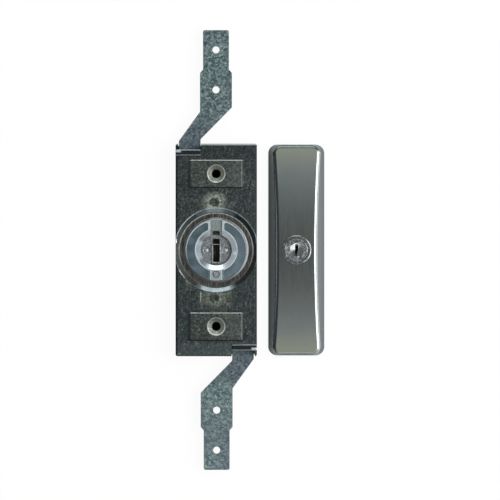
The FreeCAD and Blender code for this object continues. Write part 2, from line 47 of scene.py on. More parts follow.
# %% Colour and node helpers
def colour(hex_value):
    """Linear colour of an sRGB hex value."""
    parts = [int(hex_value[i:i + 2], 16) / 255 for i in (1, 3, 5)]
    linear = [c / 12.92 if c <= 0.04045 else ((c + 0.055) / 1.055) ** 2.4 for c in parts]
    return (*linear, 1.0)


def per(size_mm):
    """Texture scale for a pattern of this size."""
    return 1 / (size_mm * MM)


def add(tree, kind, inputs=None, out=0, stops=(), **settings):
    """Adds a node and returns one output, or all of them if out is None.

    An input is given a socket to link, a hex colour or a value; stops are those of a ramp.
    """
    new = tree.nodes.new(kind)
    for name, value in settings.items():
        setattr(new, name, value)
    for key, value in (inputs or {}).items():
        if isinstance(value, bpy.types.NodeSocket):
            tree.links.new(value, new.inputs[key])
        else:
            new.inputs[key].default_value = colour(value) if isinstance(value, str) else value
    elements = new.color_ramp.elements if stops else []
    while len(elements) < len(stops):
        elements.new(0.5)
    for element, (position, shade) in zip(elements, stops):
        element.position = position
        element.color = colour(shade)
    return new.outputs if out is None else new.outputs[out]


print("mid grey #808080 is", round(colour("#808080")[0], 3), "in linear light")


# %% [markdown]
# A worn finish is laid up as it came about: a base, and coats over it, each with a mask that
# says where it holds. A mask is a product of terms. A term is a ready mask, or a soft step on
# something measured, such as the height of a point. A step is above or below a place, and soft
# by its width; a slow fade is written as the value, where it is 0 and where it is 1. The other
# way would be to paint the masks as images. Steps were chosen because they need no picture,
# stay sharp at any distance and say in millimetres what they mean. A fade on a noise decides
# how much of that noise shows.

# %% Masks
def mask(tree, *terms, strength=1.0):
    """Product of masks, steps and fades; two more numbers in a fade stand in for 0 and 1."""
    product = strength
    for term in terms:
        if isinstance(term, tuple):
            value, start, end, at_start, at_end = (*term, 0.0, 1.0)[:5]
            term = add(tree, "ShaderNodeMapRange", {"Value": value, "From Min": start, "From Max": end,
                                                    "To Min": at_start, "To Max": at_end})
        product = add(tree, "ShaderNodeMath", {0: term, 1: product}, operation="MULTIPLY")
    return product


def above(value, place, soft):
    """Step that is 1 above a place; soft is how wide its edge is."""
    return value, place - soft / 2, place + soft / 2


def below(value, place, soft):
    """Step that is 1 below a place."""
    return value, place + soft / 2, place - soft / 2


def band(value, low, high, soft):
    """Two steps that hold between low and high."""
    return above(value, low, soft), below(value, high, soft)


def either(tree, *masks):
    """Greatest of masks: 1 where any of them is 1."""
    greatest = masks[0]
    for other in masks[1:]:
        greatest = add(tree, "ShaderNodeMath", {0: greatest, 1: other}, operation="MAXIMUM")
    return greatest


print("a band from 1 to 2 with soft edges:", band("value", 1, 2, 0.5))


# %% Sums and coats
def weighted(tree, *parts):
    """Sum of values, each times its weight."""
    total = 0.0
    for value, weight in parts:
        total = add(tree, "ShaderNodeMath", {0: value, 1: weight, 2: total}, operation="MULTIPLY_ADD")
    return total


def coated(tree, base, *coats):
    """Lays coats over a base, in their order; a coat is a mask and a colour."""
    for where, shade in coats:
        base = add(tree, "ShaderNodeMix", {0: where, 6: base, 7: shade}, out=2, data_type="RGBA")
    return base


# %% [markdown]
# Masks need something to measure. Object coordinates give the place of a point, here turned to
# millimetres, and the normal gives the way it faces. The case and the cover are the same on both
# sides of their middle, so most masks read the absolute value of a place and serve both sides.

# %% Places and directions
def axes(tree, place):
    """X, Y and Z in millimetres."""
    scaled = add(tree, "ShaderNodeVectorMath", {0: place, "Scale": 1 / MM}, operation="SCALE")
    return add(tree, "ShaderNodeSeparateXYZ", {0: scaled}, out=None)


def facing(tree):
    """X, Y and Z of the surface's normal: Z is 1 on a level top and 0 on an upright wall."""
    normal = add(tree, "ShaderNodeTexCoord", out="Normal")
    return add(tree, "ShaderNodeSeparateXYZ", {0: normal}, out=None)


def both_sides(tree, *values):
    """Absolute values, which are the same on both sides of the middle."""
    return [add(tree, "ShaderNodeMath", {0: value}, operation="ABSOLUTE") for value in values]


def distance(tree, x, y, point=(0.0, 0.0)):
    """Distance in millimetres from a point, or from the hub's axis, as seen from above."""
    flat = add(tree, "ShaderNodeCombineXYZ", {0: x, 1: y})
    return add(tree, "ShaderNodeVectorMath", {0: flat, 1: (*point, 0.0)}, out="Value",
               operation="DISTANCE")


def edge_wear(tree, radius_mm, low, high):
    """Mask that is 1 on edges, where handling rubs a finish bright."""
    rounded = add(tree, "ShaderNodeBevel", {"Radius": radius_mm * MM}, samples=6)
    actual = add(tree, "ShaderNodeNewGeometry", out="Normal")
    alike = add(tree, "ShaderNodeVectorMath", {0: rounded, 1: actual}, out="Value",
                operation="DOT_PRODUCT")
    return mask(tree, (alike, high, low))


# %% [markdown]
# Every visible piece is metal, so each finish starts from the piece's own coordinates and ends
# in a Principled shader, which a pattern bumps a few hundredths of a millimetre. Keeping start
# and end in two functions leaves only what is particular to a finish in its own cells.

# %% Start and end of a finish
def new_material(name):
    """Empty material, its node tree and the object coordinates."""
    material = bpy.data.materials.new(name)
    material.use_nodes = True
    tree = material.node_tree
    tree.nodes.clear()
    return material, tree, add(tree, "ShaderNodeTexCoord", out="Object")


def end_metal(tree, base, roughness, metallic, height=None, depth_mm=0.0, strength=0.6):
    """Shader and output of a metal; height is the pattern that bumps it."""
    inputs = {"Base Color": base, "Roughness": roughness, "Metallic": metallic}
    if height is not None:
        inputs["Normal"] = add(tree, "ShaderNodeBump", {"Height": height, "Distance": depth_mm * MM,
                                                        "Strength": strength})
    shader = add(tree, "ShaderNodeBsdfPrincipled", inputs)
    add(tree, "ShaderNodeOutputMaterial", {"Surface": shader}, out=None)
    print("finish with", len(tree.nodes), "nodes")


finishes = {}


# %% [markdown]
# The case is one pressed sheet, and its finish changes from place to place. The masks need the
# heights of its face and its dish, the two radii of the dish, and how far out the lips over the
# arm exits reach. All are in millimetres, counted from the hub's axis and the back of the case.

# %% Places on the case
PAD_RISE, DISH_DEPTH = 1.8, 2.0
DISH_EDGE, DISH_FOOT = 30.1, 26.7
NOTCH, LIP_WIDTH = 4.2, 4.4
case_low, case_high = [[v / MM for v in corner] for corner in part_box("case_shell")]
FACE = case_high[2] - PAD_RISE
DISH_FLOOR = FACE - DISH_DEPTH
CASE_SIDE = case_high[0]
LIP_OUTER = case_high[1] - NOTCH
LIP_INNER = LIP_OUTER - LIP_WIDTH
print("face at", round(FACE, 2), "dish floor at", round(DISH_FLOOR, 2),
      "lips from", round(LIP_INNER, 1), "to", round(LIP_OUTER, 1), "mm")


# %% [markdown]
# The case is cold-rolled sheet with a blackened zinc coat, drawn and lanced afterwards. What the
# eye gets is a dark slate with olive-grey scuffs where the press tools rubbed, a fine speckle of
# zinc crystals, and dark stains of old oil. Each is a noise of its own size, cut into a mask. The
# scuffs aren't everywhere: they crowd along the middle of the face, so the noise that places
# them is raised there before it is cut.

# %% Patterns of the case
case_zinc, tree, place = new_material("blackened_zinc_sheet")
x, y, z = axes(tree, place)
reach = distance(tree, x, y)
to_right, to_top, level = facing(tree)
across, along, sideways, endways = both_sides(tree, x, y, to_right, to_top)
clouds = add(tree, "ShaderNodeTexNoise", {"Vector": place, "Scale": per(13), "Detail": 3.0,
                                          "Roughness": 0.6})
mottle = add(tree, "ShaderNodeTexNoise", {"Vector": place, "Scale": per(1.7), "Detail": 5.0,
                                          "Roughness": 0.68, "Distortion": 0.3})
speckle = add(tree, "ShaderNodeTexNoise", {"Vector": place, "Scale": per(0.8), "Detail": 3.0,
                                           "Roughness": 0.6})
oil = add(tree, "ShaderNodeTexNoise", {"Vector": place, "Scale": per(4.5), "Detail": 2.0,
                                       "Roughness": 0.5, "Distortion": 1.2})
rolled = add(tree, "ShaderNodeMapping", {"Vector": place, "Scale": (1.0, 0.14, 1.0)})
lines = add(tree, "ShaderNodeTexNoise", {"Vector": rolled, "Scale": per(1.0), "Detail": 3.0,
                                         "Roughness": 0.6})
print("case patterns", len(tree.nodes), "nodes")

# %% Coat and scuffs of the case
MIDDLE_HALF, MIDDLE_END = 16, 66
clean = add(tree, "ShaderNodeValToRGB", {"Fac": mottle},
            stops=[(0.30, "#1f2627"), (0.48, "#2d3536"), (0.62, "#3f4848"), (0.78, "#6a7371")])
scuffed = add(tree, "ShaderNodeValToRGB", {"Fac": mottle},
              stops=[(0.32, "#2a2d29"), (0.45, "#454941"), (0.58, "#6f746a"), (0.72, "#a9ada1")])
middle = mask(tree, below(across, MIDDLE_HALF, 12), below(along, MIDDLE_END, 12))
crowd = weighted(tree, (clouds, 1.0), (middle, 0.12))
scuffs = mask(tree, (crowd, 0.55, 0.82), strength=0.75)
print("coat and scuffs", len(tree.nodes), "nodes so far")


# %% [markdown]
# Two spot welds hold the arm guides under the face. Their heat burnt the coat pale round them,
# with a ragged border, and left each weld itself dark. They lie equally far above and below the
# hub, so one distance on the absolute Y finds both, stretched a little across and broken up by
# the mottle. The lower weld sits in a worn patch with a short bright line at its left. Near its
# upper end the face is a shade darker, and near its lower end a shade lighter.

# %% Welds and worn patch
WELD, FLATTEN, RAGGED = (-0.9, 34.2), 0.8, 3.0
WELD_RADIUS, BURN_RADIUS = 4.5, 7.25
LOWER_BURN, UPPER_BURN = 0.46, 0.9
PATCH_X, PATCH_Y = (-11.0, 10.5), (-38.6, -30.6)
LINE_X, LINE_Y = (-11.4, -10.7), (-37.0, -30.0)
flattened = weighted(tree, (x, FLATTEN))
from_weld = weighted(tree, (distance(tree, flattened, along, WELD), 1.0), (mottle, RAGGED))
burnt = add(tree, "ShaderNodeValToRGB", {"Fac": mottle},
            stops=[(0.34, "#555b53"), (0.50, "#90978b"), (0.66, "#c8cec2")])
by_weld = mask(tree, below(from_weld, BURN_RADIUS, 4.5), (y, -10, 10, LOWER_BURN, UPPER_BURN))
patch = mask(tree, *band(x, *PATCH_X, 1.5), *band(y, *PATCH_Y, 0.8), strength=0.32)
bright_line = mask(tree, *band(x, *LINE_X, 0.4), *band(y, *LINE_Y, 1.5), strength=0.7)
print("welds", 2 * WELD[1], "mm apart")

# %% Coats of the face
UPPER_STRIP, LOWER_STRIP = 64, -66
coat = coated(tree, clean,
              (scuffs, scuffed),
              (by_weld, burnt),
              (mask(tree, (lines, 0.54, 0.74), strength=0.35), "#7e8880"),
              (mask(tree, (oil, 0.58, 0.70), strength=0.65), "#262b2c"),
              (mask(tree, (speckle, 0.60, 0.76), strength=0.7), "#a3ada9"),
              (patch, scuffed),
              (bright_line, "#aeb5aa"),
              (mask(tree, below(from_weld, WELD_RADIUS, 0.8), strength=0.9), "#343b38"),
              (mask(tree, above(y, UPPER_STRIP, 4), strength=0.25), "#1c2223"),
              (mask(tree, below(y, LOWER_STRIP, 4), strength=0.14), "#7d888a"))
print("coats of the face", len(tree.nodes), "nodes so far")


# %% [markdown]
# The two screw pads are lanced out of the face and stand above it, so they are what rubs on the
# door: their tops are worn to a warm grey, with painted light making them a touch lighter on the
# right. The height finds them.
# The lips over the arm exits stand up a little too, so the mask ends soon after they begin.

# %% Screw pads
RAISED_END, PAD_HALF = LIP_INNER + 1.3, 20
raised = mask(tree, above(z, FACE + 0.6, 0.6), below(along, RAISED_END, 1))
worn_pad = add(tree, "ShaderNodeValToRGB", {"Fac": mottle},
               stops=[(0.30, "#272b29"), (0.48, "#3e433f"), (0.64, "#616661"), (0.8, "#9ba09a")])
coat = coated(tree, coat,
              (mask(tree, raised, strength=0.8), worn_pad),
              # painted light: the pad tops turn a touch lighter towards the right
              (mask(tree, raised, (x, 0, PAD_HALF), strength=0.09), "#9ba39f"))
print("pads", len(tree.nodes), "nodes so far")


# %% [markdown]
# The round dish under the hub was drawn. The tool ironed its wall smooth where the wall faces the
# two ends of the case, and there it is painted pale as a reflection; at the sides it is painted
# dull as shade, and a little darker above, also painted shade. Its floor is brown with wear, and
# its edge and foot carry two painted highlight rings that fade below the hub, but for one spot at
# the lower left. Distance and height tell these apart. The way a point faces has to help, because
# the case's own sides stand closer to the axis than the dish's edge.

# %% Wall and floor of the dish
WALL_START = DISH_FLOOR + 0.2
not_upright = above(level, 0.3, 0.2)
in_dish = mask(tree, below(reach, DISH_EDGE, 0.2), not_upright)
on_floor = mask(tree, in_dish, below(z, WALL_START, 0.3))
on_wall = mask(tree, in_dish, above(z, WALL_START, 0.3))
floor_grit = add(tree, "ShaderNodeValToRGB", {"Fac": lines},
                 stops=[(0.35, "#2d2c28"), (0.52, "#474540"), (0.7, "#706c63")])
sheen = add(tree, "ShaderNodeTexNoise", {"Vector": place, "Scale": per(3.0), "Detail": 2.0,
                                         "Roughness": 0.55})
painted_lit_wall = add(tree, "ShaderNodeValToRGB", {"Fac": sheen}, stops=[(0.35, "#768184"), (0.65, "#919b9d")])
shaded_wall = add(tree, "ShaderNodeValToRGB", {"Fac": mottle}, stops=[(0.32, "#1e2122"), (0.66, "#3e423f")])
# painted reflection on the wall where it faces the ends, painted shade at its sides and above
ironed_and_lit = mask(tree, above(endways, 0.455, 0.04))
wall = coated(tree, shaded_wall, (ironed_and_lit, painted_lit_wall), (mask(tree, (y, 0, 20), strength=0.2), "#2a2f31"))
print("dish", len(tree.nodes), "nodes so far")

# %% Painted highlight rings of the dish
RING_HIGHLIGHT_SPOT, SPOT_RADIUS = (-25.2, -17.2), 3.5
edge_ring = mask(tree, *band(reach, DISH_EDGE - 0.5, DISH_EDGE + 0.15, 0.3))
foot_ring = mask(tree, *band(reach, DISH_FOOT - 0.7, DISH_FOOT - 0.1, 0.3))
lit_upper_part = mask(tree, (y, -14, 4, 0.12, 1.0))
ring_highlight_spot = mask(tree, below(distance(tree, x, y, RING_HIGHLIGHT_SPOT), SPOT_RADIUS, 2))
# painted highlight rings at the dish's edge and foot, brighter above
rings = mask(tree, either(tree, edge_ring, foot_ring), above(z, DISH_FLOOR - 0.15, 0.1),
             (mottle, 0.34, 0.52, 0.35, 0.85), not_upright, either(tree, lit_upper_part, ring_highlight_spot))
coat = coated(tree, coat, (on_floor, floor_grit), (on_wall, wall), (rings, "#aab4b5"))
print("rings at", DISH_FOOT, "and", DISH_EDGE, "mm")


# %% [markdown]
# The sheet is folded down at the sides, and the folds there are painted near black as shade. Edges
# that face the upper end get painted highlights: a thin pale line along the fold, and a brighter one
# on the pads, and the pad ends that face sideways are painted lighter. The lips over the arm exits
# are dark, with a pale line where they rise, and painted highlights on their ends and corners.
# Where the dish's edge crosses the case's sides, two short painted highlights lie at its upper
# crossing. The masks come from which way a point faces and how high it lies.

# %% Folds and exit lips
CROSSING_Y = (5, 8)
off_dish = (in_dish, 1.0, 0.0)
side_fold = mask(tree, (sideways, 0.10, 0.25), off_dish, below(z, FACE + 0.025, 0.05), strength=0.85)
pad_end_light = mask(tree, (sideways, 0.3, 0.6), raised, strength=0.6)
lip = mask(tree, above(z, FACE + 0.06, 0.08))
lip_line = mask(tree, lip, *band(along, LIP_INNER - 0.2, LIP_INNER + 0.7, 0.2), strength=0.8)
upper_edge = mask(tree, (to_top, 0.15, 0.5), off_dish, (mottle, 0.30, 0.45, 0.5, 1.0))
pad_top_highlight = mask(tree, upper_edge, above(z, FACE + 0.3, 0.2))
by_exit = mask(tree, above(along, LIP_INNER - 0.95, 0.5))
crossing_highlight = mask(tree, above(across, CASE_SIDE - 0.85, 0.5), *band(y, *CROSSING_Y, 1), not_upright,
                 (x, -10, 10, 0.85, 0.5))
lip_end = mask(tree, lip, above(along, LIP_OUTER - 0.6, 0.2), strength=0.6)
lip_corner = mask(tree, lip, above(along, LIP_OUTER - 2.0, 0.6), above(across, CASE_SIDE - 3.75, 1.5))
print("folds and lips", len(tree.nodes), "nodes so far")

# %% Coats of folds and lips
# painted shade on the side folds, painted light on the pad ends, painted highlights on the upper edges,
# lip ends and corners and where the dish crosses the sides
coat = coated(tree, coat,
              (side_fold, "#191d1e"),
              (pad_end_light, "#5f6460"),
              (mask(tree, lip, *band(along, LIP_INNER + 1.0, LIP_OUTER - 0.6, 0.4)), "#20262a"),
              (lip_line, "#98a19d"),
              (mask(tree, upper_edge, *band(z, FACE - 0.7, FACE + 0.2, 0.2)), "#a4acaa"),
              (pad_top_highlight, coated(tree, "#dfe4e1", (by_exit, "#8f9794"))),
              (crossing_highlight, "#d8dcda"),
              (either(tree, lip_end, lip_corner), "#b9c1be"))
print("coats of the case", len(tree.nodes), "nodes so far")

# %% Shader of the case
unpolished = mask(tree, (mask(tree, on_wall, ironed_and_lit), 0, 1, 1.0, 0.28))
grain = weighted(tree, (mottle, 0.6), (speckle, 0.4))
end_metal(tree, coat, mask(tree, (mottle, 0.3, 0.7, 0.40, 0.62), unpolished), 0.8,
          mask(tree, grain, unpolished), 0.06)
finishes["case_steel"] = case_zinc


# %% [markdown]
# Hot dip galvanising leaves zinc crystals a millimetre or two across, each lying its own way,
# so one is light and its neighbour dark, with a faint green-blue cast. A Voronoi texture gives a
# flat value per cell, and it reads coordinates shifted by a noise, which breaks the cell borders
# so they don't look like tiles. The tint moves towards violet near the case, and the far part of
# the lower arm is a little lighter.

# %% Galvanised spangle on the arms
WARP = 2.2 * MM
arm_zinc, tree, place = new_material("galvanised_spangle")
warp = add(tree, "ShaderNodeTexNoise", {"Vector": place, "Scale": per(2.4), "Detail": 3.0}, out="Color")
warped = add(tree, "ShaderNodeVectorMath", {0: warp, 1: (WARP, WARP, WARP), 2: place},
             operation="MULTIPLY_ADD")
crystals = add(tree, "ShaderNodeTexVoronoi", {"Vector": warped, "Scale": per(1.3)}, out="Color")
facet = add(tree, "ShaderNodeSeparateColor", {"Color": crystals})
dimples = add(tree, "ShaderNodeTexNoise", {"Vector": place, "Scale": per(1.9), "Detail": 2.0,
                                           "Roughness": 0.5})
crackle = add(tree, "ShaderNodeTexNoise", {"Vector": place, "Scale": per(0.8), "Detail": 3.0,
                                           "Roughness": 0.65, "Distortion": 0.4})
tint = add(tree, "ShaderNodeTexNoise", {"Vector": place, "Scale": per(40), "Detail": 1.0,
                                        "Roughness": 0.55})
spangle = weighted(tree, (facet, 0.30), (crackle, 0.36), (dimples, 0.36))
print("spangle", len(tree.nodes), "nodes so far")

# %% Colours and shader of the arms
NECK, LOWER_TIP = 95, -100
zinc = add(tree, "ShaderNodeValToRGB", {"Fac": spangle},
           stops=[(0.36, "#4c5e60"), (0.47, "#627575"), (0.58, "#788b89"), (0.74, "#9fafad")])
y = axes(tree, place)["Y"]
along, = both_sides(tree, y)
violet = either(tree, mask(tree, (tint, 0.47, 0.60), strength=0.4),
                mask(tree, below(along, NECK, 20), strength=0.55))
zinc = coated(tree, zinc,
              (violet, "#5c6170"),
              (mask(tree, below(y, LOWER_TIP, 30), strength=0.14), "#a9bcc0"),
              (mask(tree, edge_wear(tree, 0.4, 0.78, 0.97), strength=0.6), "#8b9896"))
end_metal(tree, zinc, mask(tree, (facet, 0.0, 1.0, 0.34, 0.54)), 0.85, spangle, 0.10)
finishes["galvanised_steel"] = arm_zinc


# %% [markdown]
# The hub is die-cast zinc. Its rims and ribs were rubbed bright, its two pockets are as cast and
# look satin blue-grey, and the floor of its channel is dull. All three are one casting, so the
# material tells them apart by place: the height of a point says whether it is on a rib or in a
# pocket, and the distance from the axis finds the rim, the side and the funnel of the socket.

# %% Colours of the hub
hub_zinc, tree, place = new_material("die_cast_zinc")
x, y, z = axes(tree, place)
reach = distance(tree, x, y)
to_right, to_top = facing(tree)[:2]
across, = both_sides(tree, x)
grain = add(tree, "ShaderNodeTexNoise", {"Vector": place, "Scale": per(0.8), "Detail": 4.0,
                                         "Roughness": 0.6})
clouds = add(tree, "ShaderNodeTexNoise", {"Vector": place, "Scale": per(8.0), "Detail": 2.0,
                                          "Roughness": 0.5})
pocket = add(tree, "ShaderNodeValToRGB", {"Fac": clouds},
             stops=[(0.35, "#53656b"), (0.5, "#617279"), (0.68, "#71828b")])
# painted light: the pockets turn lighter towards the right
pocket = coated(tree, pocket, (mask(tree, (x, 0, 18), strength=0.32), "#8c9da6"))
bright = add(tree, "ShaderNodeValToRGB", {"Fac": grain}, stops=[(0.3, "#9ba5a9"), (0.7, "#c6cdd0")])
funnel = add(tree, "ShaderNodeValToRGB", {"Fac": grain}, stops=[(0.3, "#adb8bc"), (0.7, "#d0d8db")])
channel = add(tree, "ShaderNodeValToRGB", {"Fac": grain}, stops=[(0.3, "#666c6c"), (0.7, "#959e9f")])
side = add(tree, "ShaderNodeValToRGB", {"Fac": grain}, stops=[(0.3, "#56585a"), (0.7, "#7d8081")])
print("hub colours", len(tree.nodes), "nodes so far")

# %% Places on the hub
HUB_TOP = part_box("drive_hub")[1][2] / MM
HUB_RADIUS, SOCKET_RADIUS, SOCKET_DEPTH = 22.0, 14.4, 2.35
CHANNEL_HALF, CHANNEL_START, CHANNEL_DEPTH = 4.25, 10.75, 0.8
on_top = mask(tree, above(z, HUB_TOP - 0.22, 0.2))
in_funnel = mask(tree, below(reach, SOCKET_RADIUS, 0.2), above(z, HUB_TOP - SOCKET_DEPTH, 0.3))
in_channel = mask(tree, below(across, CHANNEL_HALF, 0.1), above(y, CHANNEL_START, 0.5),
                  below(z, HUB_TOP - CHANNEL_DEPTH, 0.2))
on_side = mask(tree, above(reach, HUB_RADIUS, 0.2))
print("hub top at", round(HUB_TOP, 2), "mm")


# %% [markdown]
# The hub's rim is bright above and at the left. Below, and where it leans to the right, painted
# shade makes it as dull as the pockets. The land at the bottom, with the screw in it, is paler than
# the pockets.
# On the real hub it is narrower than in the CAD, so its outer strips take the pockets' colour,
# and a bright line runs inside each strip. A dark ring lies round the screw.

# %% Rim and bottom land of the hub
RIM_START, LAND_START = 20.35, -14.4
LAND_HALF, CAST_LAND_HALF = 4.3, 6.3
DARK_RING = (2.1, 2.6)
screw_low, screw_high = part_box("hub_screw")
SCREW = [(low + high) / 2 / MM for low, high in zip(screw_low, screw_high)][:2]
rim = mask(tree, above(reach, RIM_START, 0.3))
# painted shade: the rim is laid dull below and where it leans to the right
shaded_rim = mask(tree, rim, either(tree, mask(tree, (y, 2, -15)), mask(tree, (to_right, 0.06, 0.2))))
land = mask(tree, below(y, LAND_START, 0.4), below(across, CAST_LAND_HALF, 0.2))
land_side = mask(tree, land, above(across, LAND_HALF, 0.2))
land_line = mask(tree, land, *band(across, LAND_HALF - 0.6, LAND_HALF - 0.2, 0.3), strength=0.8)
from_screw = distance(tree, x, y, SCREW)
dark_ring = mask(tree, *band(from_screw, *DARK_RING, 0.3), strength=0.9)
land_zinc = add(tree, "ShaderNodeValToRGB", {"Fac": grain}, stops=[(0.3, "#828e91"), (0.7, "#a3aeb2")])
bright = coated(tree, bright,
                (mask(tree, shaded_rim, strength=0.85), "#56646a"),
                (land, land_zinc),
                (land_side, pocket),
                (land_line, "#d5dee0"),
                (dark_ring, "#313a3d"))
print("hub screw at", [round(v, 2) for v in SCREW], "mm")


# %% [markdown]
# The funnel of the socket was turned smooth, so it is the brightest part. What a cone mirrors
# changes round it, and here that is painted into its colour: painted shade where it faces right, a
# nearly white painted reflection at the bottom, where it faces the upper end, and one painted glint
# at the right. The last coat is wear on all edges, kept off the shaded rim, the sides of the land
# and the dark ring round the screw.

# %% Funnel and edges of the hub
GLINT, GLINT_RADIUS = (13.5, -2.3), 1.2
glint = mask(tree, below(distance(tree, x, y, GLINT), GLINT_RADIUS, 1))
# painted shade, a painted reflection and a painted glint on the funnel
funnel = coated(tree, funnel,
                (mask(tree, (to_right, 0.12, 0.45)), "#5c676d"),
                (mask(tree, (to_top, 0.44, 0.53)), "#eef3f4"),
                (glint, "#f6fafa"))
by_screw = mask(tree, below(from_screw, DARK_RING[1] + 0.25, 0.3))
unworn = either(tree, shaded_rim, land_side, by_screw)
worn = mask(tree, edge_wear(tree, 0.4, 0.80, 0.97), (unworn, 1.0, 0.0))
casting = coated(tree, pocket,
                 (on_top, bright),
                 (in_funnel, funnel),
                 (on_side, side),
                 (in_channel, channel),
                 (worn, "#f2f6f7"))
bare = either(tree, on_top, in_funnel, in_channel)
end_metal(tree, casting, mask(tree, (grain, 0.3, 0.7, 0.30, 0.46), (in_funnel, 0, 1, 1.0, 0.5)),
          mask(tree, (bare, 0.0, 1.0, 0.85, 0.35)), grain, 0.04, 0.5)
finishes["cast_zinc"] = hub_zinc


# %% [markdown]
# Inside the socket and the case the steel is plain, oiled and rough: almost black with brown and
# grey grit. The turned small pieces are the same steel, bright. The disc in the socket was
# blasted, the liner of the bar slot and the hub's screw are rubbed, and the small brass pieces
# are grimy. Each of these is a grit noise with its own colours, size and roughness, so one
# function makes them all.

# %% Gritty small pieces
def gritty(slot, name, shades, roughness, grit_mm, depth_mm, metallic=1.0):
    """Finish of a small piece: a grit of a size in its own colours."""
    material, tree, place = new_material(name)
    grit = add(tree, "ShaderNodeTexNoise", {"Vector": place, "Scale": per(grit_mm), "Detail": 5.0,
                                            "Roughness": 0.7, "Distortion": 0.5})
    base = add(tree, "ShaderNodeValToRGB", {"Fac": grit}, stops=shades)
    end_metal(tree, base, mask(tree, (grit, 0.3, 0.7, roughness - 0.1, roughness + 0.1)), metallic,
              grit, depth_mm)
    finishes[slot] = material


gritty("dark_steel", "oiled_dark_steel", [(0.28, "#1d2021"), (0.5, "#3a3d3d"), (0.75, "#6d706c")],
       roughness=0.5, grit_mm=1.1, depth_mm=0.08)
gritty("bright_steel", "turned_bright_steel", [(0.3, "#9ba2a2"), (0.55, "#c4c9c6"), (0.75, "#e2e5e2")],
       roughness=0.34, grit_mm=0.9, depth_mm=0.03, metallic=0.6)
gritty("gritty_steel", "sandblasted_steel", [(0.34, "#4c5153"), (0.5, "#73787a"), (0.66, "#a2a6a7")],
       roughness=0.55, grit_mm=1.3, depth_mm=0.06, metallic=0.6)
gritty("liner_steel", "rubbed_liner", [(0.34, "#676c6e"), (0.5, "#8f9495"), (0.66, "#c2c6c6")],
       roughness=0.45, grit_mm=1.3, depth_mm=0.04, metallic=0.6)
gritty("grimy_brass", "grimy_brass", [(0.3, "#5a5040"), (0.55, "#8f8263"), (0.75, "#c0b08a")],
       roughness=0.45, grit_mm=1.1, depth_mm=0.03)


# %% [markdown]
# The cover is zinc, polished and plated with satin nickel, then brushed along its length. The
# brushing is far too fine to draw one scratch at a time, so it is a noise drawn out sixty times
# along Y, coarse enough to show. It breaks the reflection into long soft streaks. Towards the ends
# of the crown the plate is painted lighter and a little yellow, as a painted reflection, and it is
# lighter towards its middle.

# %% Satin nickel of the cover
LIT_CROWN_ENDS, LIGHTER = (54, 73), (42, 8)
cover_nickel, tree, place = new_material("satin_nickel_plate")
y, z = axes(tree, place)[1:]
to_right, to_top, level = facing(tree)
along, sideways, endways = both_sides(tree, y, to_right, to_top)
brushed = add(tree, "ShaderNodeMapping", {"Vector": place, "Scale": (1.0, 1 / 60, 1.0)})
streaks = add(tree, "ShaderNodeTexNoise", {"Vector": brushed, "Scale": per(0.7), "Detail": 3.0,
                                           "Roughness": 0.6})
clouds = add(tree, "ShaderNodeTexNoise", {"Vector": place, "Scale": per(30), "Detail": 2.0,
                                          "Roughness": 0.5})
plate = add(tree, "ShaderNodeValToRGB", {"Fac": clouds},
            stops=[(0.36, "#737a7a"), (0.52, "#777d7b"), (0.66, "#7b7d7a")])
plate = coated(tree, plate,
               # painted reflection: the ends of the crown are laid lighter and a little yellow
               (mask(tree, (along, *LIT_CROWN_ENDS), strength=0.9), "#8a8c7d"),
               (mask(tree, (along, *LIGHTER), strength=0.2), "#a0a6a3"),
               (mask(tree, (streaks, 0.35, 0.75), strength=0.09), "#a8aba8"))
print("nickel plate", len(tree.nodes), "nodes so far")


# %% [markdown]
# A rounded edge shows a whole room in a few millimetres, as bands that run along it. Here these
# bands are painted into the plate's colour as painted reflections and painted shade: the way a
# point faces says which band it is in. The right edge is painted light. The left one has a painted
# light line outside and a painted dark band inside it. At the ends, the upper edge is painted grey
# and the lower one light, and both are painted dark further down. The flanks below carry painted
# shade, lighter on the right and towards the top, and the normal's Z, which is small there, picks
# them out.

# %% Rounded edges and flanks of the cover
LIGHT_LINE_END, FLANK_LEVEL = 68.5, 0.385
off_end = below(along, LIGHT_LINE_END, 3)
straight = below(sideways, 0.3, 0.2)
lit_right_flank = coated(tree, "#4b5254", (mask(tree, (z, 3, 12)), "#636b6d"))
shaded_flank = coated(tree, "#4d5456", (mask(tree, (to_right, -0.5, 0.5)), lit_right_flank))
# painted reflections and painted shade, laid by the way each point faces
plate = coated(tree, plate,
               (mask(tree, (to_right, 0.16, 0.32)), "#c2c7c6"),
               (mask(tree, *band(to_right, -0.92, -0.64, 0.1), off_end), "#e9edec"),
               (mask(tree, *band(to_right, -0.60, -0.14, 0.1)), "#50575a"),
               (mask(tree, (to_top, 0.22, 0.4)), "#737c77"),
               (mask(tree, (to_top, -0.22, -0.4), straight), "#d6dbd8"),
               (mask(tree, (endways, 0.62, 0.8)), "#444b4c"),
               (mask(tree, below(level, FLANK_LEVEL, 0.05)), shaded_flank))
end_metal(tree, plate, mask(tree, (streaks, 0.3, 0.7, 0.22, 0.27)), 1.0)
finishes["satin_nickel"] = cover_nickel


# %% [markdown]
# The key cylinder is chrome plated brass, turned on a lathe. The marks of the tool are too fine
# to show, so a wave texture in rings about the cylinder's axis draws wider and deeper ones. At
# scale 1 such a texture has twenty radians of wave to the metre. The plug is brighter and
# smoother than the housing round it, and the keyway is dark brown, and rougher, from a millimetre
# below the face.

# %% Turned chrome
RING_SPACING = 5.655
WAVE_RADIANS = 20
KEYWAY_REACH, KEYWAY_DARK_DEPTH = 6.1, 1.3


